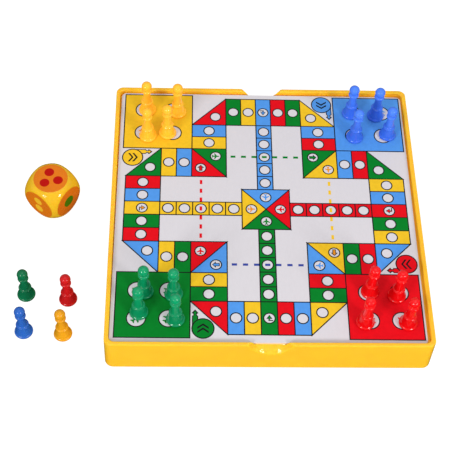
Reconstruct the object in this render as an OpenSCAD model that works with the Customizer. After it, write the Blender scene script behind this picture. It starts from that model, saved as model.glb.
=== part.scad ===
// Ludo set: a moulded tray, a lift-out printed card that lies in it, sixteen pawns on the card,
// and four more pawns and a large rounded die on the table beside it.
// Origin at the centre of the tray's underside, +Z up, +X to the right, +Y to the back.

/* [Card] */
// Width of the square card
card_w = 189; // [189:1:230]
// Thickness of the card with both cover sheets
card_t = 1.5; // [1:0.1:3]
// Thickness of each cover sheet
sheet_t = 0.1; // [0.05:0.05:0.3]
// Corner radius of the card
card_corner_r = 3; // [1:0.5:3]
// Gap between the card and the deck that it lies on
card_rest_gap = 0.05; // [0.02:0.01:0.1]
// Distance of the card from the middle of the tray, to the right
card_dx = -0.35; // [-0.4:0.05:0.4]
// Distance of the card from the middle of the tray, to the back
card_dy = -0.4; // [-0.4:0.05:0.4]
// Turn of the card in the tray, anticlockwise from above
card_turn = -0.27; // [-0.3:0.01:0.3]

/* [Tray] */
// Height of the tray from the table to its rim
tray_h = 27; // [24:0.5:40]
// Play between the card and the rim on each side
well_gap = 1; // [1:0.1:1.5]
// Corner radius of the well that the card lies in
well_corner_r = 3.5; // [2:0.5:4]
// Height of the rim above the face of the card
rim_up = 2.2; // [1:0.1:3]
// Width of the rim along its top
rim_w = 2.7; // [1.8:0.1:4]
// Distance that the bottom edge stands out beyond the rim on each side
draft_out = 0.6; // [0.1:0.1:2]
// Corner radius of the rim
tray_corner_r = 4.5; // [3:0.5:6]
// Thickness of the deck under the card
deck_t = 2; // [1.5:0.1:3]
// Thickness of the two ribs that cross under the deck
rib_t = 2; // [1.2:0.2:4]
// Radius of the ball that shapes each finger scoop
scoop_r = 16.2; // [14:0.2:18]
// Distance from the rim's outer edge out to the centre of that ball
scoop_out = 8.9; // [8:0.1:10]
// Height of the centre of that ball above the rim
scoop_up = 3.3; // [1:0.1:4]
// Thickness of the moulding round each scoop
scoop_skin = 2; // [1.5:0.1:3]

/* [Print] */
// Width of one square of the track
cell_w = 10; // [9:0.5:10]
// Length of one square of the track, also the side of the squares where the track turns
cell_l = 22.5; // [20:0.5:22.5]
// Side of the four corner squares where the pawns wait
yard_w = 45; // [40:0.5:45]
// Half the width of the finish square in the middle
hub_half = 15.25; // [12:0.25:16]
// Radius of the white circle on each square, with its outline
ring_r = 3.8; // [2.9:0.1:4]
// Radius of the white circles in the corner squares, with their outline
park_r = 6.05; // [5:0.05:7]
// Distance of those circles from the middle of their square along each side
park_gap = 9.6; // [9.4:0.1:11]
// Radius of the disc where a pawn starts
start_r = 6.9; // [5.5:0.1:7]
// Width of the printed lines
line_w = 0.7; // [0.3:0.05:0.8]
// Thickness of the ink
ink_t = 0.05; // [0.03:0.01:0.1]
// Distance of the print from the middle of the card, to the right
print_dx = 0.6; // [-0.8:0.05:0.8]
// Distance of the print from the middle of the card, to the back
print_dy = 0.75; // [-0.8:0.05:0.8]

/* [Pawn] */
// Height of a pawn
pawn_h = 27.8; // [26:0.2:32]
// Radius of the head
head_r = 3.35; // [2.6:0.05:3.4]
// Radius of the collar under the head
collar_r = 3.35; // [2.6:0.05:3.6]
// Radius of the neck where it is thinnest
neck_r = 2.2; // [1.6:0.1:2.4]
// Radius of the ring round the waist
waist_r = 4; // [3.6:0.05:4.4]
// Radius of the foot
foot_r = 5.7; // [5.2:0.1:6.1]
// Radius of the hollow in the underside
hollow_r = 2.4; // [1:0.1:2.6]
// Depth of the hollow in the underside
hollow_d = 6; // [2:0.5:7]

/* [Die] */
// Width of the die across its flats
die_w = 27.5; // [24:0.5:30]
// Radius of the ball that rounds off its corners, as a share of the width
die_round = 0.65; // [0.643:0.001:0.68]
// Radius of the pips, as a share of the width
pip_share = 0.113; // [0.08:0.001:0.116]
// Radius of the single pip on the face for one, as a share of the width
one_share = 0.153; // [0.08:0.001:0.2]
// Depth of the coloured discs and pips
die_ink = 0.2; // [0.1:0.05:0.4]
// Turn of the die on the table
die_turn = -36.25; // [-60:0.25:60]

/* [Hidden] */
$fn = 96;
eps = 0.5;
pawn_gap = 0.03;

well_half = card_w / 2 + well_gap;
rim_half = well_half + rim_w;
base_half = rim_half + draft_out;
face_z = tray_h - rim_up;
card_z = face_z - card_t;
deck_z = card_z - card_rest_gap;
scoop_y = rim_half + scoop_out;
scoop_z = tray_h + scoop_up;

// Lines of the track, measured from the middle of the print
arm = 2.5 * cell_w;
elbow = arm + cell_l;
shoulder = elbow + 2 * cell_w;
edge = shoulder + cell_l;
yard_mid = elbow + yard_w / 2;

// One quarter of the track, from the top square that leads home round to the left.
// "rect" has its range in X and in Y; "tri" has its square corner, the directions of its two
// short sides, and the distance of its circle from that corner in X and in Y.
turn_ring = [7, 7];
fly_ring = [6.9, 6];
arrow_ring = [5.85, 6.9];
quarter = [
    ["rect", [-cell_w / 2, cell_w / 2], [shoulder, edge]],
    ["rect", [-1.5 * cell_w, -cell_w / 2], [shoulder, edge]],
    ["rect", [-arm, -1.5 * cell_w], [shoulder, edge]],
    ["tri", [-arm, shoulder], [-1, 1], turn_ring],
    ["rect", [-elbow, -arm], [shoulder - cell_w, shoulder]],
    ["rect", [-elbow, -arm], [elbow, elbow + cell_w]],
    ["tri", [-arm, elbow], [-1, -1], fly_ring],
    ["tri", [-elbow, arm], [1, 1], arrow_ring],
    ["rect", [-elbow - cell_w, -elbow], [arm, elbow]],
    ["rect", [-shoulder, -elbow - cell_w], [arm, elbow]],
    ["tri", [-shoulder, arm], [-1, 1], turn_ring],
    ["rect", [-edge, -shoulder], [1.5 * cell_w, arm]],
    ["rect", [-edge, -shoulder], [cell_w / 2, 1.5 * cell_w]],
];
entry_cell = 0;
fly_from = 6;
fly_arrow = 7;

// Squares of the home column, from the track in to the finish
home_count = 5;
home_l = (shoulder - hub_half) / home_count;
home = [
    for (k = [0 : home_count - 1])
        ["rect", [-cell_w / 2, cell_w / 2], [shoulder - (k + 1) * home_l, shoulder - k * home_l]]
];
yard = ["rect", [-elbow - yard_w, -elbow], [elbow, elbow + yard_w]];
hub_ring = [0, 0.605 * hub_half];

// Dashed line that a pawn flies along, across the third square of the home column
fly_y = shoulder - 2.5 * home_l;
dash_count = 7;
dash_step = 6.85;
dash_l = 3.2;
dash_w = 1.6;

// Disc where a pawn starts, the arrow beside it and the marks on it
start_y = elbow - start_r - 0.9;
start_at = [start_y - edge - arm - sqrt(2) * (start_r + 0.74), start_y];
start_arrow_at = start_at + [start_r, start_r - 2.15];
chevron_step = 2.8;

// Size of the planes in the corner squares against those on the track
yard_plane_scale = 1.35;

// Halves of the small figures, pointing along +X. Those with a dark edge have a second, smaller
// outline inside it.
plane_half = [
    [2.5, 0], [1.9, 0.42], [0.7, 0.48], [-0.5, 2.3], [-1.1, 2.3], [-0.55, 0.48],
    [-1.6, 0.4], [-2.1, 1.1], [-2.6, 1.1], [-2.3, 0],
];
arrow_edge = [[2.4, 0], [0.1, 2.25], [0.1, 1.1], [-2.35, 1.1], [-2.35, 0]];
arrow_inside = [[1.75, 0], [0.55, 1.15], [0.55, 0.65], [-1.9, 0.65], [-1.9, 0]];
start_arrow_edge = [[5.9, 0], [3.5, 2.05], [2.8, 1], [2.1, 1], [1.5, 1.85], [-5.5, 1.85], [-5.5, 0]];
start_arrow_inside = [
    [4.8, 0], [3.7, 1.05], [3.25, 0.45], [1.85, 0.45], [1.25, 1.3], [-5.5, 1.3], [-5.5, 0],
];
chevron_half = [[2, 0], [-0.4, 3.4], [-1.7, 3.4], [0.7, 0]];

// The dart that shows the way into a home column, pointing along +X, with its fold on one side
dart_edge = [
    [2.3, 0], [-0.4, -1.75], [-0.4, -0.35], [-1.25, -0.35], [-1.25, -2.15],
    [-1.85, -2.15], [-1.85, 0.65], [-0.4, 0.65], [-0.4, 1.85],
];
dart_inside = [
    [1.6, 0], [-0.1, -1.1], [-0.1, -0.05], [-1.5, -0.05], [-1.5, 0.3], [-0.1, 0.3], [-0.1, 1.2],
];

// Colours in the order in which they follow each other along the track
BLUE = 0;
YELLOW = 1;
GREEN = 2;
RED = 3;
colour_names = ["blue", "yellow", "green", "red"];
ink_rgb = ["#4f95e6", "#f5c02f", "#0a8034", "#e8232b"];
pawn_rgb = ["#3a66d8", "#f5ad2c", "#149a63", "#e0151b"];

// Pawns in their corner squares: which corner, then how far each of the four stands from the
// middle of its circle, in the order back left, back right, front left, front right
yard_corner = [[1, 1], [-1, 1], [-1, -1], [1, -1]];
park_corner = [[-1, 1], [1, 1], [-1, -1], [1, -1]];
pawn_shift = [
    [[-1.5, -0.8], [-3.8, -2.4], [0.1, -1.7], [2.9, 0.7]],
    [[2, -0.4], [3.1, -1.9], [2.9, -3.2], [-3.3, -0.6]],
    [[4.4, -1.3], [2.9, -2.9], [1.6, 3.7], [4.3, -0.7]],
    [[1.2, 0.4], [-1.9, -2.3], [-3.2, -1.5], [3.3, -1.7]],
];
// Places of the four pawns on the table, one of each colour
spare_at = [[-149.1, -75.1], [-125.1, -76.7], [-149.7, -49.1], [-123.5, -52.3]];

// Heights on a pawn
foot_h = 2.2;
waist_z = 8.6;
waist_h = 1.6;
collar_z = 18.9;
collar_h = 2.4;
head_z = pawn_h - head_r;
bell_r = 0.87 * foot_r;
neck_foot_r = 0.78 * waist_r;
neck_steps = 6;

// The die: a face is the turn that brings it up, its number and the colour of its pips
die_at = [-137.3, 20.9];
die_ball_r = die_round * die_w;
disc_r = sqrt(die_ball_r * die_ball_r - die_w * die_w / 4) - 0.4;
die_faces = [
    [[0, 0, 0], 3, RED],
    [[0, 90, 0], 1, GREEN],
    [[90, 0, 0], 2, YELLOW],
    [[-90, 0, 0], 5, GREEN],
    [[0, -90, 0], 6, RED],
    [[180, 0, 0], 4, BLUE],
];
pip_gap = 0.224 * die_w;

// Shared outlines

module rounded_square(half, r) {
    square([2 * half, 2 * (half - r)], center = true);
    square([2 * (half - r), 2 * half], center = true);
    for (x = [-1, 1], y = [-1, 1])
        translate([x * (half - r), y * (half - r)])
            circle(r);
}

// A figure from its upper half, mirrored across the X axis
module figure(half) {
    polygon(concat(half, [for (k = [len(half) - 2 : -1 : 1]) [half[k][0], -half[k][1]]]));
}

// Tray

// Block with walls that spread towards the table and rounded upright corners
module tray_block() {
    span = rim_half - tray_corner_r;
    for (x = [-1, 1], y = [-1, 1])
        translate([x * span, y * span, 0])
            cylinder(h = tray_h, r1 = tray_corner_r + draft_out, r2 = tray_corner_r);
    for (turn = [0, 90])
        rotate(turn)
            rotate([90, 0, 0])
                linear_extrude(2 * span, center = true)
                    polygon([[-base_half, 0], [base_half, 0], [rim_half, tray_h], [-rim_half, tray_h]]);
}

// The four hollows between the ribs, open below
module tray_bays() {
    bay = well_half - rib_t / 2;
    for (turn = [0 : 90 : 270])
        rotate(turn)
            translate([rib_t / 2, rib_t / 2, -eps])
                cube([bay, bay, deck_z - deck_t + eps]);
}

module scoop_balls(r) {
    for (side = [-1, 1])
        translate([0, side * scoop_y, scoop_z])
            sphere(r);
}

module tray() {
    color("gold")
        difference() {
            union() {
                difference() {
                    tray_block();
                    tray_bays();
                }
                intersection() {
                    tray_block();
                    scoop_balls(scoop_r + scoop_skin);
                }
            }
            translate([0, 0, deck_z])
                linear_extrude(tray_h)
                    rounded_square(well_half, well_corner_r);
            scoop_balls(scoop_r);
        }
}

// Card

// Puts what is drawn about the middle of the card where the card lies in the tray
module on_card() {
    translate([card_dx, card_dy, 0])
        rotate(card_turn)
            children();
}

module card_layer(z, t) {
    on_card()
        translate([0, 0, z])
            linear_extrude(t)
                rounded_square(card_w / 2, card_corner_r);
}

module card_core() {
    color("tan")
        card_layer(card_z + sheet_t, card_t - 2 * sheet_t);
}

module card_top_sheet() {
    color("whitesmoke")
        card_layer(face_z - sheet_t, sheet_t);
}

module card_back_sheet() {
    color("white")
        card_layer(card_z, sheet_t);
}

// Print

module cell_shape(cell, inset) {
    if (cell[0] == "rect")
        translate([cell[1][0] + inset, cell[2][0] + inset])
            square([cell[1][1] - cell[1][0] - 2 * inset, cell[2][1] - cell[2][0] - 2 * inset]);
    else
        translate(cell[1] + inset * cell[2]) {
            leg = cell_l - inset * (2 + sqrt(2));
            polygon([[0, 0], [leg * cell[2][0], 0], [0, leg * cell[2][1]]]);
        }
}

function cell_ring(cell) =
    cell[0] == "rect"
        ? [(cell[1][0] + cell[1][1]) / 2, (cell[2][0] + cell[2][1]) / 2]
        : cell[1] + [cell[3][0] * cell[2][0], cell[3][1] * cell[2][1]];

module hub_shape(inset) {
    half = hub_half - inset * (1 + sqrt(2));
    polygon([[0, inset * sqrt(2)], [half, hub_half - inset], [-half, hub_half - inset]]);
}

// Coloured field with a round hole where the white of the card shows
module ringed_field(at, r) {
    difference() {
        children();
        translate(at)
            circle(r);
    }
}

module yard_field() {
    difference() {
        cell_shape(yard, line_w / 2);
        for (corner = park_corner)
            translate(cell_ring(yard) + park_gap * corner)
                circle(park_r);
    }
}

module yard_planes() {
    for (corner = park_corner)
        translate(cell_ring(yard) + park_gap * corner)
            rotate(-45)
                scale(yard_plane_scale)
                    figure(plane_half);
}

module start_marks() {
    for (side = [-1, 1])
        translate(start_at + [side * chevron_step / 2, 0])
            figure(chevron_half);
}

// An outline of the arrow beside the disc, cut away where the disc covers it
module start_arrow(half) {
    difference() {
        translate(start_arrow_at)
            figure(half);
        translate(start_at)
            circle(start_r - line_w);
    }
}

module start_field() {
    difference() {
        translate(start_at)
            circle(start_r - line_w);
        start_marks();
    }
    difference() {
        start_arrow(start_arrow_inside);
        translate(start_at)
            circle(start_r);
    }
}

// Coloured squares, corners and discs in one colour. The four quarters of the print are alike,
// and the colours move on by one from each quarter to the next.
module colour_fields(colour) {
    for (q = [0 : 3])
        rotate(90 * q) {
            for (i = [0 : len(quarter) - 1])
                if ((q + i) % 4 == colour)
                    ringed_field(cell_ring(quarter[i]), ring_r)
                        cell_shape(quarter[i], line_w / 2);
            if (q == colour) {
                for (cell = home)
                    ringed_field(cell_ring(cell), ring_r)
                        cell_shape(cell, line_w / 2);
                ringed_field(hub_ring, ring_r)
                    hub_shape(line_w / 2);
            }
            if ((q + 1) % 4 == colour) {
                yard_field();
                start_field();
            }
        }
}

// Small figures in the circles of one colour
module colour_figures(colour) {
    rotate(90 * ((colour + 4 - entry_cell) % 4))
        translate(cell_ring(quarter[entry_cell]))
            rotate(-90)
                polygon(dart_inside);
    rotate(90 * ((colour + 8 - fly_from) % 4))
        translate(cell_ring(quarter[fly_from]))
            figure(plane_half);
    rotate(90 * ((colour + 8 - fly_arrow) % 4))
        translate(cell_ring(quarter[fly_arrow]))
            rotate(90)
                figure(arrow_inside);
    rotate(90 * colour)
        translate(hub_ring)
            rotate(-90)
                figure(plane_half);
    rotate(90 * ((colour + 3) % 4))
        yard_planes();
}

// Dashed line in one colour, across the home column of another
module flight_line(colour) {
    rotate(90 * ((colour + 2) % 4))
        for (k = [0 : dash_count - 1])
            translate([(k - (dash_count - 1) / 2) * dash_step, fly_y])
                square([dash_l, dash_w], center = true);
}

module all_cells(inset) {
    for (q = [0 : 3])
        rotate(90 * q) {
            for (cell = concat(quarter, home, [yard]))
                cell_shape(cell, inset);
            hub_shape(inset);
        }
}

module ring_line(r) {
    difference() {
        circle(r);
        circle(r - line_w);
    }
}

module line_print() {
    difference() {
        all_cells(-line_w / 2);
        all_cells(line_w / 2);
    }
    for (q = [0 : 3])
        rotate(90 * q) {
            for (at = concat([for (cell = concat(quarter, home)) cell_ring(cell)], [hub_ring]))
                translate(at)
                    ring_line(ring_r);
            for (corner = park_corner)
                translate(cell_ring(yard) + park_gap * corner)
                    ring_line(park_r);
            translate(start_at)
                ring_line(start_r);
            start_marks();
            difference() {
                start_arrow(start_arrow_edge);
                start_arrow(start_arrow_inside);
            }
            translate(cell_ring(quarter[entry_cell]))
                rotate(-90)
                    difference() {
                        polygon(dart_edge);
                        polygon(dart_inside);
                    }
            translate(cell_ring(quarter[fly_arrow]))
                rotate(90)
                    difference() {
                        figure(arrow_edge);
                        figure(arrow_inside);
                    }
        }
}

module ink_layer() {
    on_card()
        translate([print_dx, print_dy, face_z])
            linear_extrude(ink_t)
                children();
}

module print_lines() {
    color("#1c1c20")
        ink_layer()
            line_print();
}

// One of the four main colours. The figures on yellow are orange and the blue dashes are navy.
module print_colour(colour) {
    color(ink_rgb[colour])
        ink_layer() {
            colour_fields(colour);
            if (colour != YELLOW)
                colour_figures(colour);
            if (colour != BLUE)
                flight_line(colour);
        }
}

module print_orange() {
    color("#e8962a")
        ink_layer()
            colour_figures(YELLOW);
}

module print_navy() {
    color("#3c4f9e")
        ink_layer()
            flight_line(BLUE);
}

// Pawn

// Disc with a half-round edge, seen from the side
module bead(z, h, r) {
    translate([0, z])
        square([r - h / 2, h]);
    translate([r - h / 2, z + h / 2])
        circle(h / 2);
}

// Radius of the neck at a share of the way up, drawn in towards the collar
function neck_at(share) = neck_r + (neck_foot_r - neck_r) * (1 - share) * (1 - share);

module pawn_side() {
    neck_z = waist_z + waist_h / 2;
    neck_h = collar_z + collar_h / 2 - neck_z;
    bead(0, foot_h, foot_r);
    polygon([[0, foot_h / 2], [bell_r, foot_h / 2], [bell_r, foot_h], [neck_foot_r, neck_z], [0, neck_z]]);
    bead(waist_z, waist_h, waist_r);
    polygon(concat(
        [[0, neck_z]],
        [for (k = [0 : neck_steps]) [neck_at(k / neck_steps), neck_z + neck_h * k / neck_steps]],
        [[0, neck_z + neck_h]]
    ));
    bead(collar_z, collar_h, collar_r);
    translate([0, collar_z])
        square([neck_r, head_z - collar_z]);
    translate([0, head_z])
        circle(head_r);
}

module pawn() {
    rotate_extrude()
        difference() {
            intersection() {
                square([foot_r, pawn_h]);
                pawn_side();
            }
            translate([-eps, -eps])
                square([hollow_r + eps, hollow_d + eps]);
        }
}

module parked_pawn(colour, k) {
    at = yard_mid * yard_corner[colour] + park_gap * park_corner[k] + pawn_shift[colour][k];
    color(pawn_rgb[colour])
        on_card()
            translate([print_dx + at[0], print_dy + at[1], face_z + ink_t + pawn_gap])
                pawn();
}

module spare_pawn(colour) {
    color(pawn_rgb[colour])
        translate(spare_at[colour])
            pawn();
}

// Die

// Places of the pips on a face that lies upwards
function pip_places(number) =
    number == 1 ? [[0, 0]] :
    number == 2 ? [[0, 0.62 * pip_gap], [0, -0.62 * pip_gap]] :
    number == 3 ? [for (k = [0 : 2]) 0.81 * pip_gap * [cos(20 + 120 * k), sin(20 + 120 * k)]] :
    number == 6 ? [for (x = [-0.58, 0.58], y = [-1.06, 0, 1.06]) pip_gap * [x, y]] :
    concat(
        [for (x = [-0.75, 0.75], y = [-0.75, 0.75]) pip_gap * [x, y]],
        number == 5 ? [[0, 0]] : []
    );

function pip_radius(number) = die_w * (number == 1 ? one_share : pip_share);

module on_die() {
    translate([die_at[0], die_at[1], die_w / 2])
        rotate(die_turn)
            children();
}

// Flat plug that ends flush with the face that the turn brings up
module face_plug(turn, at, r) {
    rotate(turn)
        translate([at[0], at[1], die_w / 2 - die_ink])
            cylinder(h = die_ink, r = r);
}

module die_body() {
    color("goldenrod")
        on_die()
            difference() {
                intersection() {
                    cube(die_w, center = true);
                    sphere(die_ball_r);
                }
                for (face = die_faces)
                    rotate(face[0])
                        translate([0, 0, die_w / 2 - die_ink])
                            cylinder(h = die_ink + eps, r = disc_r);
            }
}

module die_discs() {
    color("darkorange")
        on_die()
            for (face = die_faces)
                difference() {
                    face_plug(face[0], [0, 0], disc_r);
                    for (at = pip_places(face[1]))
                        rotate(face[0])
                            translate([at[0], at[1], die_w / 2 - die_ink - eps])
                                cylinder(h = die_ink + 2 * eps, r = pip_radius(face[1]));
                }
}

module die_pips(colour) {
    color(ink_rgb[colour])
        on_die()
            for (face = die_faces)
                if (face[2] == colour)
                    for (at = pip_places(face[1]))
                        face_plug(face[0], at, pip_radius(face[1]));
}

tray();
card_core();
card_top_sheet();
card_back_sheet();
print_lines();
print_orange();
print_navy();
for (c = [BLUE, YELLOW, GREEN, RED]) {
    print_colour(c);
    for (k = [0 : 3])
        parked_pawn(c, k);
    spare_pawn(c);
    die_pips(c);
}
die_body();
die_discs();
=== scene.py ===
"""Dresses the ludo set: a soft-edged moulded tray, turned pawns, a rounded die, paper and ink."""
import math

import bmesh
import bpy
from mathutils import Matrix, Vector


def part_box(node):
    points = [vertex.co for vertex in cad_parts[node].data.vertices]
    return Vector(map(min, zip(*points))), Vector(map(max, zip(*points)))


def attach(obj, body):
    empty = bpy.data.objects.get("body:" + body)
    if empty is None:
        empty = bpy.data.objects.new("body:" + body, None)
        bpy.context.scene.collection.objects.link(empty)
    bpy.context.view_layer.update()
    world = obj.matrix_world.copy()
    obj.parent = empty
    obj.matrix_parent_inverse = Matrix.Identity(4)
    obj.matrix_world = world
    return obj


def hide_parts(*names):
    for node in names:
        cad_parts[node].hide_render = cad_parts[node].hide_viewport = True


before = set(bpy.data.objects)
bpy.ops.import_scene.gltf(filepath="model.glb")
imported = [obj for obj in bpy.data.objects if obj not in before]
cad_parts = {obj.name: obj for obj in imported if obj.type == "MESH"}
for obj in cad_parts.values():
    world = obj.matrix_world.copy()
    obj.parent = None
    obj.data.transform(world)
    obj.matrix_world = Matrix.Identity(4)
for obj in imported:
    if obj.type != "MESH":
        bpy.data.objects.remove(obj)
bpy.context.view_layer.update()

MM = 0.001
COLOURS = ("blue", "yellow", "green", "red")

# Camera: where it stands, how it is turned and its lens
CAMERA_AT = Vector((-50.5, -407.5, 623.3)) * MM
CAMERA_HEADING = math.radians(3.55)
CAMERA_DIP = math.radians(56.484)
CAMERA_ROLL = math.radians(3.48)
CAMERA_LENS = 91.3
CAMERA_SENSOR = 36.0
CAMERA_NEAR = 10 * MM

# Light: a white surround, a soft box low in front on each side and a wide one overhead
SURROUND = 0.55
FRONT_BOX_DISTANCE = 1.6
FRONT_BOX_SIZE = 0.34
FRONT_BOX_POWER = 11.0
FRONT_BOX_LEFT = Vector((-0.55, -0.72, 0.43))
FRONT_BOX_RIGHT = Vector((0.58, -0.73, 0.46))
TOP_BOX_PLACE = Vector((0, 0, 1.2))
TOP_BOX_SIZE = 1.0
TOP_BOX_POWER = 3.5
FLOOR_SIZE = 8.0
FLOOR_DROP = 0.1 * MM
FLOOR_GLOW = 0.92
FLOOR_SHADE = [0.25, 0.25, 0.25, 1.0]
FLOOR_GRAIN = 400 * MM
# Drop of the black sheet under the floor, a painted dark reflection
DARK_REFLECTION_DROP = 1 * MM

# Tray
RIM_W = 2.7 * MM
DRAFT_OUT = 0.6 * MM
TRAY_CORNER_R = 4.5 * MM
WELL_CORNER_R = 3.5 * MM
CARD_REST_GAP = 0.05 * MM
DECK_T = 2.0 * MM
RIB_T = 2.0 * MM
RIM_ROUND = 0.7 * MM
RIM_INNER_ROUND = 0.5 * MM
FOOT_ROUND = 0.5 * MM
SCOOP_R = 16.2 * MM
SCOOP_OUT = 8.9 * MM
SCOOP_UP = 3.3 * MM
SCOOP_SKIN = 2.0 * MM

# Pawn
FOOT_R = 5.7 * MM
FOOT_H = 2.2 * MM
BELL_R = 4.96 * MM
WAIST_R = 4.0 * MM
WAIST_Z = 8.6 * MM
WAIST_H = 1.6 * MM
NECK_FOOT_R = 3.12 * MM
NECK_R = 2.2 * MM
COLLAR_R = 3.35 * MM
COLLAR_Z = 18.9 * MM
COLLAR_H = 2.4 * MM
HEAD_R = 3.35 * MM
PAWN_BLEND = 0.22 * MM
HOLLOW_R = 2.4 * MM
HOLLOW_D = 6.0 * MM
PAWN_SIDES = 48
PAWNS_PARKED = 4

# Outline of the hollow under a pawn, from its ceiling down, as shares of its radius and depth
HOLLOW_SHAPE = ((0.35, 1), (0.85, 1), (1, 0.93), (1, 0.4), (1, 0.06), (1.1, 0))

# Die
DIE_TURN = math.radians(-36.25)
DIE_BALL_SHARE = 0.65
DIE_EDGE_POWER = 44
DIE_GRID = 40
DISC_R = 11.02 * MM
DISC_RINGS = 14
DISC_SIDES = 72
INK_STEP = 0.03 * MM
DISC_DEPTH = 0.4 * MM
DISC_CENTRE_SHARE = 0.04
DISC_SHARP_ANGLE = math.radians(40)
MERGE_DISTANCE = 0.01 * MM


def rgb(red, green, blue):
    """Linear colour, with alpha, of a colour given as it looks on a screen from 0 to 255."""
    shares = [value / 255 for value in (red, green, blue)]
    return [c / 12.92 if c <= 0.04045 else ((c + 0.055) / 1.055) ** 2.4 for c in shares] + [1.0]


def scaled(colour, factor):
    """The colour made darker or lighter."""
    return [min(1.0, channel * factor) for channel in colour[:3]] + [1.0]


# Materials

# Range of the noise over which a finish varies
NOISE_LOW = 0.3
NOISE_HIGH = 0.7

# Width of the lumps in each kind of noise
CLOUD_GRAIN = 14 * MM
CLEAR_CLOUD_GRAIN = 9 * MM
MARK_GRAIN = 5 * MM
PEEL_GRAIN = 1.6 * MM
VARNISH_GRAIN = 9 * MM
FIBRE_GRAIN = 1.1 * MM
TOOTH_GRAIN = 0.5 * MM
COVER_GRAIN = 2.4 * MM
LAYER_GRAIN = 0.5 * MM

# Plastic: how it bends light, and how far light spreads in it for each part of its colour
PLASTIC_IOR = 1.5
LEAST_SPREAD = 0.1
SPREAD_CONTRAST = 1.5

# Height of each kind of bump
PEEL_HEIGHT = 0.02 * MM
FINE_PEEL_HEIGHT = 0.004 * MM
TOOTH_HEIGHT = 0.01 * MM
LAYER_HEIGHT = 0.05 * MM


class Finish:
    """A material with a Principled shader, and the nodes that vary it over the surface."""

    def __init__(self, name):
        self.material = bpy.data.materials.new(name)
        self.material.use_nodes = True
        self.tree = self.material.node_tree
        self.shader = self.tree.nodes["Principled BSDF"]
        self.place = self.tree.nodes.new("ShaderNodeTexCoord").outputs["Object"]

    def set(self, **values):
        """Sets the shader's sockets by name, with an underscore for each space."""
        for socket, value in values.items():
            self.shader.inputs[socket.replace("_", " ")].default_value = value

    def noise(self, grain, detail, stretch=(1, 1, 1)):
        """Noise whose lumps are about as wide as grain, in metres."""
        mapping = self.tree.nodes.new("ShaderNodeMapping")
        mapping.inputs["Scale"].default_value = stretch
        self.tree.links.new(self.place, mapping.inputs["Vector"])
        node = self.tree.nodes.new("ShaderNodeTexNoise")
        node.inputs["Scale"].default_value = 1 / grain
        node.inputs["Detail"].default_value = detail
        self.tree.links.new(mapping.outputs["Vector"], node.inputs["Vector"])
        return node.outputs["Fac"]

    def vary_colour(self, amount, low, high):
        """Base colour between two colours as the amount goes through its middle range."""
        ramp = self.tree.nodes.new("ShaderNodeValToRGB")
        ramp.color_ramp.elements[0].position = NOISE_LOW
        ramp.color_ramp.elements[0].color = low
        ramp.color_ramp.elements[1].position = NOISE_HIGH
        ramp.color_ramp.elements[1].color = high
        self.tree.links.new(amount, ramp.inputs["Fac"])
        self.tree.links.new(ramp.outputs["Color"], self.shader.inputs["Base Color"])

    def vary_roughness(self, amount, low, high):
        """Roughness between two values as the amount goes through its middle range."""
        ranges = self.tree.nodes.new("ShaderNodeMapRange")
        ranges.inputs["From Min"].default_value = NOISE_LOW
        ranges.inputs["From Max"].default_value = NOISE_HIGH
        ranges.inputs["To Min"].default_value = low
        ranges.inputs["To Max"].default_value = high
        self.tree.links.new(amount, ranges.inputs["Value"])
        self.tree.links.new(ranges.outputs["Result"], self.shader.inputs["Roughness"])

    def height_share(self, low, high):
        """Goes from 0 to 1 as a place rises from low to high."""
        split = self.tree.nodes.new("ShaderNodeSeparateXYZ")
        self.tree.links.new(self.place, split.inputs["Vector"])
        ranges = self.tree.nodes.new("ShaderNodeMapRange")
        ranges.inputs["From Min"].default_value = low
        ranges.inputs["From Max"].default_value = high
        self.tree.links.new(split.outputs["Z"], ranges.inputs["Value"])
        return ranges.outputs["Result"]

    def mix(self, first, second, share):
        """Two amounts mixed, with this share of the second."""
        node = self.tree.nodes.new("ShaderNodeMix")
        node.inputs["Factor"].default_value = share
        self.tree.links.new(first, node.inputs["A"])
        self.tree.links.new(second, node.inputs["B"])
        return node.outputs["Result"]

    def scatter(self, colour, weight, depth):
        """Light that goes in and comes out again near by, further for the strong part of the colour."""
        self.set(Subsurface_Weight=weight, Subsurface_Scale=depth)
        spread = [LEAST_SPREAD + channel ** SPREAD_CONTRAST for channel in colour[:3]]
        self.set(Subsurface_Radius=spread)

    def bump(self, amount, height, strength):
        """Bumps that rise by the height as the amount goes from 0 to 1."""
        node = self.tree.nodes.new("ShaderNodeBump")
        node.inputs["Distance"].default_value = height
        node.inputs["Strength"].default_value = strength
        self.tree.links.new(amount, node.inputs["Height"])
        self.tree.links.new(node.outputs["Normal"], self.shader.inputs["Normal"])


def moulded_plastic(
        name, colour, rough, gloss, mottle=0.06, peel=PEEL_HEIGHT, glow=0.0, glow_depth=2 * MM):
    """Glossy moulded plastic: faint clouds in the colour, handling marks and a slight orange peel.

    The glow is the light that scatters below the surface.
    """
    finish = Finish(name)
    clouds = finish.noise(CLOUD_GRAIN, detail=4.0)
    finish.vary_colour(clouds, scaled(colour, 1 - mottle), scaled(colour, 1 + mottle))
    marks = finish.noise(MARK_GRAIN, detail=5.0)
    finish.vary_roughness(marks, low=0.75 * rough, high=1.3 * rough)
    finish.bump(finish.noise(PEEL_GRAIN, detail=2.0), peel, strength=0.4)
    finish.set(IOR=PLASTIC_IOR, Specular_IOR_Level=gloss)
    if glow:
        finish.scatter(colour, weight=glow, depth=glow_depth)
    return finish.material


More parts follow.
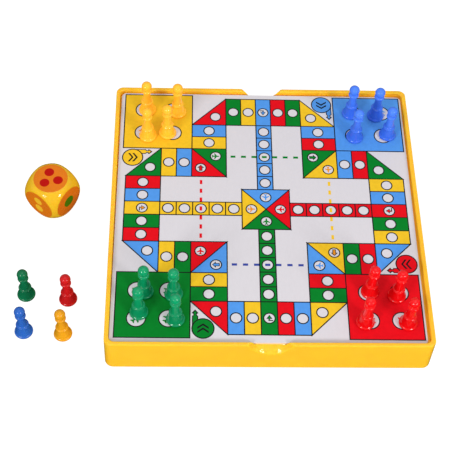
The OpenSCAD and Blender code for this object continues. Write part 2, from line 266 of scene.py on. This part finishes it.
def clear_plastic(name, foot, head, painted_glow, low, high):
    """Tinted plastic that light gets into, darker at its foot and lighter towards its head: painted
    shade low down and painted light on top, mixed with random clouds.

    The painted glow is an even glow in the foot's colour, painted light that stands in for light coming
    through from behind.
    """
    finish = Finish(name)
    clouds = finish.noise(CLEAR_CLOUD_GRAIN, detail=4.0)
    # Painted shade and light: darker low on the pawn, lighter higher up, with a share of random clouds
    shade_to_light = finish.mix(finish.height_share(low, high), clouds, share=0.25)
    finish.vary_colour(shade_to_light, foot, head)
    finish.vary_roughness(finish.noise(MARK_GRAIN, detail=5.0), low=0.1, high=0.18)
    finish.bump(finish.noise(PEEL_GRAIN, detail=2.0), FINE_PEEL_HEIGHT, strength=0.4)
    finish.set(IOR=PLASTIC_IOR, Specular_IOR_Level=0.34)
    finish.scatter(foot, weight=0.12, depth=1 * MM)
    # Painted glow: the pawn gives off a little light of its own
    finish.set(Emission_Color=foot, Emission_Strength=painted_glow)
    return finish.material


def coated_paper(name, colour, rough):
    """Smooth paper with a thin varnish: fine fibre clouds and a little tooth."""
    finish = Finish(name)
    fibres = finish.noise(FIBRE_GRAIN, detail=6.0, stretch=(1, 0.35, 1))
    finish.vary_colour(fibres, scaled(colour, 0.985), scaled(colour, 1.015))
    varnish = finish.noise(VARNISH_GRAIN, detail=4.0)
    finish.vary_roughness(varnish, low=0.9 * rough, high=1.1 * rough)
    finish.bump(finish.noise(TOOTH_GRAIN, detail=3.0), TOOTH_HEIGHT, strength=0.3)
    finish.set(Specular_IOR_Level=0.1)
    return finish.material


def printed_ink(name, colour):
    """Ink under the varnish: uneven cover at the size of the press screen and of the roller."""
    finish = Finish(name)
    cover = finish.noise(COVER_GRAIN, detail=8.0)
    finish.vary_colour(cover, scaled(colour, 0.95), scaled(colour, 1.05))
    finish.vary_roughness(finish.noise(VARNISH_GRAIN, detail=4.0), low=0.42, high=0.55)
    finish.bump(finish.noise(TOOTH_GRAIN, detail=3.0), TOOTH_HEIGHT, strength=0.25)
    finish.set(Specular_IOR_Level=0.04)
    return finish.material


def greyboard(name, colour):
    """Pressed board, seen on its edge: layers of fibre lying flat."""
    finish = Finish(name)
    layers = finish.noise(LAYER_GRAIN, detail=5.0, stretch=(0.12, 0.12, 1.6))
    finish.vary_colour(layers, scaled(colour, 0.86), scaled(colour, 1.08))
    finish.vary_roughness(layers, low=0.75, high=0.95)
    finish.bump(layers, LAYER_HEIGHT, strength=0.6)
    finish.set(Specular_IOR_Level=0.2)
    return finish.material


TRAY_YELLOW = rgb(250, 191, 47)
DIE_YELLOW = rgb(225, 177, 35)
DISC_ORANGE = rgb(217, 115, 14)
TOP_PAPER = rgb(210, 206, 211)
BACK_PAPER = rgb(214, 210, 204)
BOARD = rgb(240, 204, 164)
INK = {
    "lines": rgb(22, 22, 26),
    "blue": rgb(80, 147, 224),
    "yellow": rgb(233, 188, 39),
    "green": rgb(5, 122, 39),
    "red": rgb(220, 14, 27),
    "orange": rgb(229, 144, 37),
    "navy": rgb(56, 70, 150),
}
# Pawn colours at the foot and at the head: the darker foot is painted shade, the lighter head painted
# light
PAWN_FOOT_SHADED = {
    "blue": rgb(54, 102, 215),
    "yellow": rgb(255, 180, 46),
    "green": rgb(9, 130, 83),
    "red": rgb(214, 8, 13),
}
PAWN_HEAD_LIT = {
    "blue": rgb(72, 126, 240),
    "yellow": rgb(250, 182, 47),
    "green": rgb(12, 148, 96),
    "red": rgb(238, 12, 18),
}
# Strength of the painted glow of each pawn colour
PAWN_PAINTED_GLOW = {"blue": 0.05, "yellow": 0.14, "green": 0.05, "red": 0.06}
# Colours of the pawns off the board: darker copies of the pawn colours, painted shade for the weaker
# light on them
SPARE_SHADED = {
    "blue": rgb(42, 96, 182),
    "yellow": rgb(220, 152, 22),
    "green": rgb(10, 105, 65),
    "red": rgb(194, 22, 26),
}
PIP = {
    "blue": rgb(40, 80, 150),
    "yellow": rgb(230, 178, 40),
    "green": rgb(72, 116, 6),
    "red": rgb(178, 18, 12),
}


def dress(node, material):
    """Gives a CAD node its finish."""
    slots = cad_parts[node].data.materials
    for k in range(len(slots)):
        slots[k] = material
    if not slots:
        slots.append(material)


def dress_card():
    dress("card_core", greyboard("greyboard", BOARD))
    dress("card_top_sheet", coated_paper("coated_paper", TOP_PAPER, rough=0.5))
    dress("card_back_sheet", coated_paper("back_paper", BACK_PAPER, rough=0.7))
    for name, colour in INK.items():
        dress("print_" + name, printed_ink("ink_" + name, colour))


# Mesh helpers

FLAT_WEIGHT = 100


def new_object(name, mesh_maker, material):
    """A mesh object, smooth all over, from a filled bmesh."""
    bmesh.ops.recalc_face_normals(mesh_maker, faces=mesh_maker.faces)
    mesh = bpy.data.meshes.new(name)
    mesh_maker.to_mesh(mesh)
    mesh_maker.free()
    for face in mesh.polygons:
        face.use_smooth = True
    mesh.materials.append(material)
    piece = bpy.data.objects.new(name, mesh)
    bpy.context.scene.collection.objects.link(piece)
    return piece


def settle(piece):
    """Turns the result of the modifiers into the object's own mesh."""
    graph = bpy.context.evaluated_depsgraph_get()
    mesh = bpy.data.meshes.new_from_object(piece.evaluated_get(graph), depsgraph=graph)
    piece.modifiers.clear()
    piece.data = mesh


def even_flats(piece):
    """Keeps large flat faces flat and shades only the rounded edges between them."""
    modifier = piece.modifiers.new("even", "WEIGHTED_NORMAL")
    modifier.weight = FLAT_WEIGHT
    settle(piece)


def skin(maker, loops):
    """Closed skin through a row of loops with equal counts, with a flat cap at each end."""
    rings = [[maker.verts.new(point) for point in loop] for loop in loops]
    for ring, following in zip(rings, rings[1:]):
        for k in range(len(ring)):
            n = (k + 1) % len(ring)
            maker.faces.new((ring[k], ring[n], following[n], following[k]))
    maker.faces.new(rings[0])
    maker.faces.new(rings[-1])


# Tray


TRAY_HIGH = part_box("tray")[1]
BASE_HALF = TRAY_HIGH.x
TRAY_H = TRAY_HIGH.z
RIM_HALF = BASE_HALF - DRAFT_OUT
WELL_HALF = RIM_HALF - RIM_W
DECK_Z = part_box("card_back_sheet")[0].z - CARD_REST_GAP
CEILING_Z = DECK_Z - DECK_T
SCOOP_Y = RIM_HALF + SCOOP_OUT
SCOOP_Z = TRAY_H + SCOOP_UP
CORNER_STEPS = 8
ROUND_STEPS = 3
RIM_ROUND_STEPS = 4
SCOOP_STEPS = 24
LEAST_SAG = 0.01 * MM
LIP_DRAFT_SHARE = 0.4

# Distances from the well's wall and heights at which the skin has its rings, closer near the scoops
DECK_STEPS = [step * MM for step in (8, 3.4, 2.8, 2.2, 1.6, 1.0, 0.5, 0)]
OUTER_HEIGHTS = [
    z * MM for z in (25, 23.5, 22, 20.6, 19.4, 18.4, 17.7, 17.2, 16.9, 16.2, 14, 10, 6, 2.5)]
INNER_HEIGHTS = [z * MM for z in (6, 12, 15.2, 16.4, 17.2, 18.2, 19.4, 20.6)]
CEILING_STEPS = [step * MM for step in (0, 0.6, 1.3, 2.0, 2.8, 3.6, 4.2, 4.8, 9)]

# Distances from the edge of a scoop at which a ring has its points
EDGE_STEPS = [step * MM for step in (18, 9, 5, 3, 2, 1.3, 0.8, 0.4)]

PLAIN_HALF_WIDTH = 4 * MM
SMOOTH_REACH = 3
SMOOTH_PASSES = 4
RIB_FOOT = 0.3 * MM
RIB_STEPS = 5
LIP_REACH = 1.6 * MM
LIP_PASSES = 7
LIP_SHARE = 0.5


def wall_half(z):
    """Half width of the tray across its outer walls at a height."""
    return BASE_HALF - DRAFT_OUT * z / TRAY_H


def wall_corner(z):
    """Corner radius of the outer walls at a height."""
    return TRAY_CORNER_R + DRAFT_OUT * (1 - z / TRAY_H)


def quarter_round(steps):
    """Cosine and sine over a quarter turn."""
    turns = [math.pi / 2 * k / steps for k in range(steps + 1)]
    return [(math.cos(turn), math.sin(turn)) for turn in turns]


def upper_profile():
    """Rings of the upper side as half width, corner radius and height: deck, well, rim, outer wall."""
    rings = [(WELL_HALF - step, WELL_CORNER_R, DECK_Z) for step in DECK_STEPS]
    for share in (0.25, 0.5, 0.75):
        rings.append((WELL_HALF, WELL_CORNER_R, DECK_Z + share * (TRAY_H - RIM_INNER_ROUND - DECK_Z)))
    for across, up in quarter_round(ROUND_STEPS):
        half = WELL_HALF + RIM_INNER_ROUND * (1 - across)
        rings.append((half, WELL_CORNER_R, TRAY_H - RIM_INNER_ROUND * (1 - up)))
    flat_start = WELL_HALF + RIM_INNER_ROUND
    flat_end = RIM_HALF - RIM_ROUND
    for share in (0.33, 0.67):
        half = flat_start + share * (flat_end - flat_start)
        corner = WELL_CORNER_R + share * (TRAY_CORNER_R - WELL_CORNER_R)
        rings.append((half, corner, TRAY_H))
    for across, up in reversed(quarter_round(RIM_ROUND_STEPS)):
        z = TRAY_H - RIM_ROUND * (1 - up)
        rings.append((wall_half(z) - RIM_ROUND * (1 - across), wall_corner(z), z))
    rings += [(wall_half(z), wall_corner(z), z) for z in OUTER_HEIGHTS]
    return rings


def lower_profile():
    """Rings of the underside, going on from the outer wall: standing edge, inner wall, ceiling."""
    rings = []
    for across, up in quarter_round(ROUND_STEPS):
        z = FOOT_ROUND * (1 - up)
        rings.append((wall_half(z) - FOOT_ROUND * (1 - across), wall_corner(z), z))
    for across, up in reversed(quarter_round(ROUND_STEPS)):
        half = WELL_HALF + FOOT_ROUND * (1 - across)
        rings.append((half, WELL_CORNER_R, FOOT_ROUND * (1 - up)))
    rings += [(WELL_HALF, WELL_CORNER_R, z) for z in INNER_HEIGHTS]
    rings += [(WELL_HALF - step, WELL_CORNER_R, CEILING_Z) for step in CEILING_STEPS]
    return rings


def cut_half_width(half, z, ball_r):
    """Half the width over which a scoop's ball cuts a side that runs straight at this place, or 0."""
    across = ball_r ** 2 - (SCOOP_Y - half) ** 2 - (SCOOP_Z - z) ** 2
    return math.sqrt(across) if across > 0 else 0.0


def scoop_shares(rings, ball_r, split):
    """For each ring that the ball cuts, its place along the scoop's middle line, from 0 to 1.

    The rings of the deck share the line up to the split, and the rings after them the rest.
    """
    cut = [k for k, (half, corner, z) in enumerate(rings) if cut_half_width(half, z, ball_r) > 0]
    on_deck = [k for k in cut if rings[k][2] == DECK_Z]
    after = [k for k in cut if rings[k][2] != DECK_Z]
    shares = {k: split * (n + 0.5) / len(on_deck) for n, k in enumerate(on_deck)}
    shares.update({k: split + (1 - split) * (n + 0.5) / len(after) for n, k in enumerate(after)})
    return shares


def angle_below(out, ball_r):
    """Angle round the ball's centre of the point of its middle line below a place this far out."""
    return math.atan2(-math.sqrt(ball_r ** 2 - (SCOOP_Y - out) ** 2), out - SCOOP_Y)


def middle_line(ball_r, upward):
    """Angles round the ball's centre at which its middle line starts and ends, in the rings' order."""
    flat_z = DECK_Z if upward else CEILING_Z
    flat_reach = math.sqrt(ball_r ** 2 - (SCOOP_Z - flat_z) ** 2)
    wall_y = RIM_HALF + LIP_DRAFT_SHARE * DRAFT_OUT if upward else WELL_HALF
    flat_end = math.atan2(flat_z - SCOOP_Z, -flat_reach)
    wall_end = angle_below(wall_y, ball_r)
    return (flat_end, wall_end) if upward else (wall_end, flat_end)


def across_scoop(width, half, z, sag_out, sag_up):
    """Points from left to right over a width to each side, on an arc sunk by the sags in its middle."""
    shares = [2 * k / SCOOP_STEPS - 1 for k in range(SCOOP_STEPS + 1)]
    sag = math.hypot(sag_out, sag_up)
    if sag < LEAST_SAG:
        return [Vector((share * width, half, z)) for share in shares]
    radius = (width ** 2 + sag ** 2) / (2 * sag)
    spread = 2 * math.atan2(sag, width)
    points = []
    for share in shares:
        turn = share * spread
        depth = (radius * math.cos(turn) - (radius - sag)) / sag
        points.append(Vector((radius * math.sin(turn), half + sag_out * depth, z + sag_up * depth)))
    return points


def front_row(half, z, ball_r, share, ends):
    """Points along one front side from left to right as (x, outward, z), sunk where the scoop is."""
    if share is None:
        width = PLAIN_HALF_WIDTH
        middle = across_scoop(width, half, z, 0, 0)
    else:
        width = cut_half_width(half, z, ball_r)
        angle = ends[0] + share * (ends[1] - ends[0])
        sag_out = SCOOP_Y + ball_r * math.cos(angle) - half
        sag_up = SCOOP_Z + ball_r * math.sin(angle) - z
        middle = across_scoop(width, half, z, sag_out, sag_up)
    left = [Vector((-width - step, half, z)) for step in EDGE_STEPS]
    right = [Vector((width + step, half, z)) for step in reversed(EDGE_STEPS)]
    row = left + middle + right
    if share is not None:
        soften(row, (len(left), len(left) + SCOOP_STEPS))
    return row


def soften(row, creases):
    """Rounds off a row of points about the places where it bends sharply."""
    for _ in range(SMOOTH_PASSES):
        before = [point.copy() for point in row]
        for crease in creases:
            for k in range(crease - SMOOTH_REACH, crease + SMOOTH_REACH + 1):
                row[k] = (before[k - 1] + 2 * before[k] + before[k + 1]) / 4


def tray_loop(half, corner, z, ball_r, share, ends):
    """One closed ring of the tray's skin, anticlockwise from the front left corner."""
    row = front_row(half, z, ball_r, share, ends)
    front = [Vector((p.x, -p.y, p.z)) for p in row]
    back = [Vector((-p.x, p.y, p.z)) for p in row]
    span = half - corner
    loop = []
    for side, x, y, first in ((front, 1, -1, -90), ([], 1, 1, 0), (back, -1, 1, 90), ([], -1, -1, 180)):
        loop += side
        for k in range(CORNER_STEPS + 1):
            turn = math.radians(first + 90 * k / CORNER_STEPS)
            across = x * span + corner * math.cos(turn)
            along = y * span + corner * math.sin(turn)
            loop.append(Vector((across, along, z)))
    return loop


def tray_loops(rings, ball_r, upward):
    """The rings of the upper side or of the underside as loops of points, with their scoops."""
    ends = middle_line(ball_r, upward)
    split = (angle_below(WELL_HALF, ball_r) - ends[0]) / (ends[1] - ends[0]) if upward else 0.0
    shares = scoop_shares(rings, ball_r, split)
    return [tray_loop(*ring, ball_r, shares.get(k), ends) for k, ring in enumerate(rings)]


def soften_lip(maker):
    """Rounds off the edge where each scoop runs out into the outer wall."""
    lip = []
    for vert in maker.verts:
        out = abs(vert.co.y)
        from_ball = math.dist((0, SCOOP_Y, SCOOP_Z), (vert.co.x, out, vert.co.z)) - SCOOP_R
        on_wall = abs(out - wall_half(vert.co.z)) < LIP_REACH and vert.co.z < DECK_Z
        if on_wall and abs(from_ball) < LIP_REACH:
            lip.append(vert)
    for _ in range(LIP_PASSES):
        bmesh.ops.smooth_vert(
            maker, verts=lip, factor=LIP_SHARE, use_axis_x=True, use_axis_y=True, use_axis_z=True)


def rib_end(under_scoop):
    """Half the outline of a rib as (along, z) from its foot up to its top, which ends in the skin."""
    end = WELL_HALF + RIM_W / 2
    top = DECK_Z - DECK_T / 2
    if not under_scoop:
        return [(end, RIB_FOOT), (end, top)]
    ball_r = SCOOP_R + SCOOP_SKIN / 2
    low = angle_below(end, ball_r)
    high = math.atan2(top - SCOOP_Z, -math.sqrt(ball_r ** 2 - (SCOOP_Z - top) ** 2))
    turns = [low + (high - low) * k / RIB_STEPS for k in range(RIB_STEPS + 1)]
    curve = [(SCOOP_Y + ball_r * math.cos(t), SCOOP_Z + ball_r * math.sin(t)) for t in turns]
    return [(end, RIB_FOOT)] + curve


def rib(along_x):
    """One of the two ribs that cross under the deck."""
    half = rib_end(not along_x)
    outline = half + [(-along, z) for along, z in reversed(half)]
    loops = []
    for side in (-RIB_T / 2, RIB_T / 2):
        places = [(along, side, z) if along_x else (side, along, z) for along, z in outline]
        loops.append([Vector(place) for place in places])
    maker = bmesh.new()
    skin(maker, loops)
    return new_object("rib_tool", maker, TRAY_PLASTIC)


def unite(piece, tool):
    """Joins a second solid to the piece."""
    modifier = piece.modifiers.new("unite", "BOOLEAN")
    modifier.operation = "UNION"
    modifier.solver = "EXACT"
    modifier.object = tool
    settle(piece)
    bpy.data.objects.remove(tool)


def make_tray():
    maker = bmesh.new()
    loops = tray_loops(upper_profile(), SCOOP_R, True)
    loops += tray_loops(lower_profile(), SCOOP_R + SCOOP_SKIN, False)
    skin(maker, loops)
    soften_lip(maker)
    tray = new_object("tray_moulding", maker, TRAY_PLASTIC)
    for along_x in (True, False):
        unite(tray, rib(along_x))
    even_flats(tray)
    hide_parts("tray")
    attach(tray, "tray")


# Pawns


def soft_max(values, blend):
    """Largest of the values, with a fillet where two of them come close."""
    best = values[0]
    for value in values[1:]:
        near = max(blend - abs(best - value), 0) / blend
        best = max(best, value) + near * near * blend / 4
    return best


def bead_radius(z, low, height, radius):
    """Radius at a height of a disc with a half-round edge."""
    off = z - low - height / 2
    if abs(off) > height / 2:
        return 0.0
    return radius - height / 2 + math.sqrt((height / 2) ** 2 - off ** 2)


def ball_radius(z, middle, radius):
    """Radius at a height of a ball, or 0 beyond it."""
    return math.sqrt(max(radius ** 2 - (z - middle) ** 2, 0))


def pawn_radius(z, height):
    """Radius of the pawn at a height."""
    neck_low = WAIST_Z + WAIST_H / 2
    neck_high = COLLAR_Z + COLLAR_H / 2
    head_z = height - HEAD_R
    shapes = [bead_radius(z, 0, FOOT_H, FOOT_R)]
    if z < neck_low:
        share = max(z - FOOT_H, 0) / (neck_low - FOOT_H)
        shapes.append(BELL_R + (NECK_FOOT_R - BELL_R) * share)
    elif z < neck_high:
        share = (z - neck_low) / (neck_high - neck_low)
        shapes.append(NECK_R + (NECK_FOOT_R - NECK_R) * (1 - share) ** 2)
    elif z < head_z:
        shapes.append(NECK_R)
    shapes.append(bead_radius(z, WAIST_Z, WAIST_H, WAIST_R))
    shapes.append(bead_radius(z, COLLAR_Z, COLLAR_H, COLLAR_R))
    shapes.append(ball_radius(z, head_z, HEAD_R))
    return soft_max(shapes, PAWN_BLEND)


def swing(low, high, steps):
    """Heights from low to high, closer together at both ends."""
    return [low + (high - low) * (1 - math.cos(math.pi * k / steps)) / 2 for k in range(steps + 1)]


def pawn_heights(height):
    """Heights of the pawn's rings, with a number of steps for each stretch of its outline."""
    stretches = (
        (0, FOOT_H, 8),
        (FOOT_H, WAIST_Z, 5),
        (WAIST_Z, WAIST_Z + WAIST_H, 7),
        (WAIST_Z + WAIST_H, COLLAR_Z, 6),
        (COLLAR_Z, COLLAR_Z + COLLAR_H, 8),
        (COLLAR_Z + COLLAR_H, height, 16),
    )
    heights = [0.0]
    for low, high, steps in stretches:
        heights += swing(low, high, steps)[1:]
    return heights[:-1]


def make_pawn(node, material):
    """A turned pawn, hollow below, where its CAD node stands."""
    low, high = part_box(node)
    base = Vector(((low.x + high.x) / 2, (low.y + high.y) / 2, low.z))
    height = high.z - low.z
    profile = [(wide * HOLLOW_R, deep * HOLLOW_D) for wide, deep in HOLLOW_SHAPE]
    profile += [(pawn_radius(z, height), z) for z in pawn_heights(height)]
    loops = []
    for radius, z in profile:
        turns = [2 * math.pi * k / PAWN_SIDES for k in range(PAWN_SIDES)]
        loops.append([base + Vector((radius * math.cos(t), radius * math.sin(t), z)) for t in turns])
    maker = bmesh.new()
    skin(maker, loops)
    pawn = new_object(node.replace("pawn", "turned_pawn"), maker, material)
    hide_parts(node)
    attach(pawn, node)


def make_pawns():
    for name in COLOURS:
        low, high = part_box(f"pawn_{name}_1")
        parked = clear_plastic(
            "pawn_" + name, PAWN_FOOT_SHADED[name], PAWN_HEAD_LIT[name], PAWN_PAINTED_GLOW[name], low.z, high.z)
        # The pawn off the board takes a darker copy of its colour, painted shade
        spare = moulded_plastic(
            f"pawn_{name}_spare", SPARE_SHADED[name], rough=0.22, gloss=0.25,
            peel=FINE_PEEL_HEIGHT, glow=0.1, glow_depth=1 * MM)
        for k in range(PAWNS_PARKED):
            make_pawn(f"pawn_{name}_{k + 1}", parked)
        make_pawn(f"pawn_{name}_spare", spare)


# Die


DIE_LOW, DIE_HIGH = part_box("die_body")
DIE_CENTRE = (DIE_LOW + DIE_HIGH) / 2
DIE_HALF = (DIE_HIGH.z - DIE_LOW.z) / 2
DIE_PLACE = Matrix.Translation(DIE_CENTRE) @ Matrix.Rotation(DIE_TURN, 4, "Z")
FACE_TURNS = [Matrix.Rotation(math.radians(angle), 3, axis) for angle, axis in (
    (0, "X"), (90, "X"), (180, "X"), (270, "X"), (90, "Y"), (-90, "Y"))]


def die_point(direction, sunk):
    """Point in a direction from the die's centre, sunk a little below its surface.

    The surface is what a cube and a ball have in common, with a soft edge between them.
    """
    direction = direction.normalized()
    flat = (DIE_HALF - sunk) / max(abs(value) for value in direction)
    ball = 2 * DIE_HALF * DIE_BALL_SHARE - sunk
    reach = (flat ** -DIE_EDGE_POWER + ball ** -DIE_EDGE_POWER) ** (-1 / DIE_EDGE_POWER)
    return direction * reach


def make_die_body():
    maker = bmesh.new()
    for turn in FACE_TURNS:
        grid = []
        for i in range(DIE_GRID + 1):
            across = math.tan(math.pi / 4 * (2 * i / DIE_GRID - 1))
            row = []
            for j in range(DIE_GRID + 1):
                along = math.tan(math.pi / 4 * (2 * j / DIE_GRID - 1))
                point = die_point(turn @ Vector((across, along, 1)), 2 * INK_STEP)
                row.append(maker.verts.new(DIE_PLACE @ point))
            grid.append(row)
        for i in range(DIE_GRID):
            for j in range(DIE_GRID):
                maker.faces.new((grid[i][j], grid[i + 1][j], grid[i + 1][j + 1], grid[i][j + 1]))
    bmesh.ops.remove_doubles(maker, verts=maker.verts, dist=MERGE_DISTANCE)
    material = moulded_plastic(
        "die_plastic", DIE_YELLOW, rough=0.12, gloss=0.18, mottle=0.04, glow=0.15)
    body = new_object("die_ball", maker, material)
    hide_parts("die_body")
    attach(body, "die")


def make_die_discs():
    """A painted disc on each flat, which follows the flat's softened edge."""
    maker = bmesh.new()
    for turn in FACE_TURNS:
        loops = []
        for ring in range(DISC_RINGS + 1):
            radius = DISC_R * (DISC_CENTRE_SHARE + (1 - DISC_CENTRE_SHARE) * ring / DISC_RINGS)
            turns = [2 * math.pi * k / DISC_SIDES for k in range(DISC_SIDES)]
            spots = [Vector((radius * math.cos(t), radius * math.sin(t), DIE_HALF)) for t in turns]
            loops.append([DIE_PLACE @ die_point(turn @ spot, INK_STEP) for spot in spots])
        inner = [DIE_CENTRE + (point - DIE_CENTRE) * (1 - DISC_DEPTH / DIE_HALF) for point in loops[-1]]
        loops.append(inner)
        skin(maker, loops)
    material = moulded_plastic("die_disc_ink", DISC_ORANGE, rough=0.25, gloss=0.2, mottle=0.05)
    discs = new_object("die_discs_painted", maker, material)
    discs.data.set_sharp_from_angle(angle=DISC_SHARP_ANGLE)
    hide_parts("die_discs")
    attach(discs, "die")


def make_die():
    make_die_body()
    make_die_discs()
    for name in COLOURS:
        material = moulded_plastic(f"die_pip_{name}", PIP[name], rough=0.25, gloss=0.06, mottle=0.05)
        dress(f"die_pips_{name}", material)


# Camera, floor and light


def make_camera():
    """Camera turned by heading, then dip, then roll about its own line of sight."""
    ahead = Vector((
        math.sin(CAMERA_HEADING) * math.cos(CAMERA_DIP),
        math.cos(CAMERA_HEADING) * math.cos(CAMERA_DIP),
        -math.sin(CAMERA_DIP),
    ))
    level = Vector((math.cos(CAMERA_HEADING), -math.sin(CAMERA_HEADING), 0))
    right = level * math.cos(CAMERA_ROLL) + level.cross(ahead) * math.sin(CAMERA_ROLL)
    up = right.cross(ahead)
    data = bpy.data.cameras.new("camera")
    data.lens = CAMERA_LENS
    data.sensor_width = CAMERA_SENSOR
    data.clip_start = CAMERA_NEAR
    camera = bpy.data.objects.new("camera", data)
    turn = Matrix((right, up, -ahead)).transposed().to_4x4()
    camera.matrix_world = Matrix.Translation(CAMERA_AT) @ turn
    bpy.context.scene.collection.objects.link(camera)
    bpy.context.scene.camera = camera


def flat_sheet(name, drop, material):
    """A wide level sheet below the set."""
    maker = bmesh.new()
    half = FLOOR_SIZE / 2
    corners = ((-half, -half), (half, -half), (half, half), (-half, half))
    maker.faces.new([maker.verts.new((x, y, -drop)) for x, y in corners])
    sheet = new_object(name, maker, material)
    return sheet


def make_floor():
    """A wide pale table top, and under it a black sheet that only reflections see: a painted dark
    reflection in place of the floor.
    """
    finish = Finish("floor")
    clouds = finish.noise(FLOOR_GRAIN, detail=2.0)
    finish.vary_colour(clouds, scaled(FLOOR_SHADE, 0.98), FLOOR_SHADE)
    finish.set(Roughness=0.8, Specular_IOR_Level=0.1)
    finish.set(Emission_Color=(1, 1, 1, 1), Emission_Strength=FLOOR_GLOW)
    floor = flat_sheet("floor", FLOOR_DROP, finish.material)
    floor.visible_glossy = False
    floor.visible_diffuse = False
    # Painted dark reflection: a black sheet seen only by reflections
    dark = Finish("painted_dark_reflection")
    dark.set(Base_Color=(0, 0, 0, 1), Specular_IOR_Level=0.0)
    painted_dark_reflection = flat_sheet("painted_dark_reflection", DARK_REFLECTION_DROP, dark.material)
    painted_dark_reflection.visible_camera = False
    painted_dark_reflection.visible_diffuse = False
    painted_dark_reflection.visible_shadow = False


def make_box_light(name, place, size, power):
    """A soft light that faces the middle of the set."""
    data = bpy.data.lights.new(name, "AREA")
    data.size = size
    data.energy = power
    light = bpy.data.objects.new(name, data)
    light.location = place
    light.rotation_euler = (-place).to_track_quat("-Z", "Y").to_euler()
    bpy.context.scene.collection.objects.link(light)


def make_light():
    world = bpy.data.worlds.new("surround")
    world.use_nodes = True
    background = world.node_tree.nodes["Background"]
    background.inputs["Color"].default_value = (1, 1, 1, 1)
    background.inputs["Strength"].default_value = SURROUND
    bpy.context.scene.world = world
    for name, direction in (("front_left", FRONT_BOX_LEFT), ("front_right", FRONT_BOX_RIGHT)):
        place = direction.normalized() * FRONT_BOX_DISTANCE
        make_box_light(name, place, FRONT_BOX_SIZE, FRONT_BOX_POWER)
    make_box_light("top", TOP_BOX_PLACE, TOP_BOX_SIZE, TOP_BOX_POWER)
    bpy.context.scene.view_settings.view_transform = "Standard"


TRAY_PLASTIC = moulded_plastic(
    "tray_plastic", TRAY_YELLOW, rough=0.08, gloss=0.25, mottle=0.03, glow=0.5, glow_depth=3 * MM)

make_camera()
make_floor()
make_light()
dress_card()
make_tray()
make_pawns()
make_die()
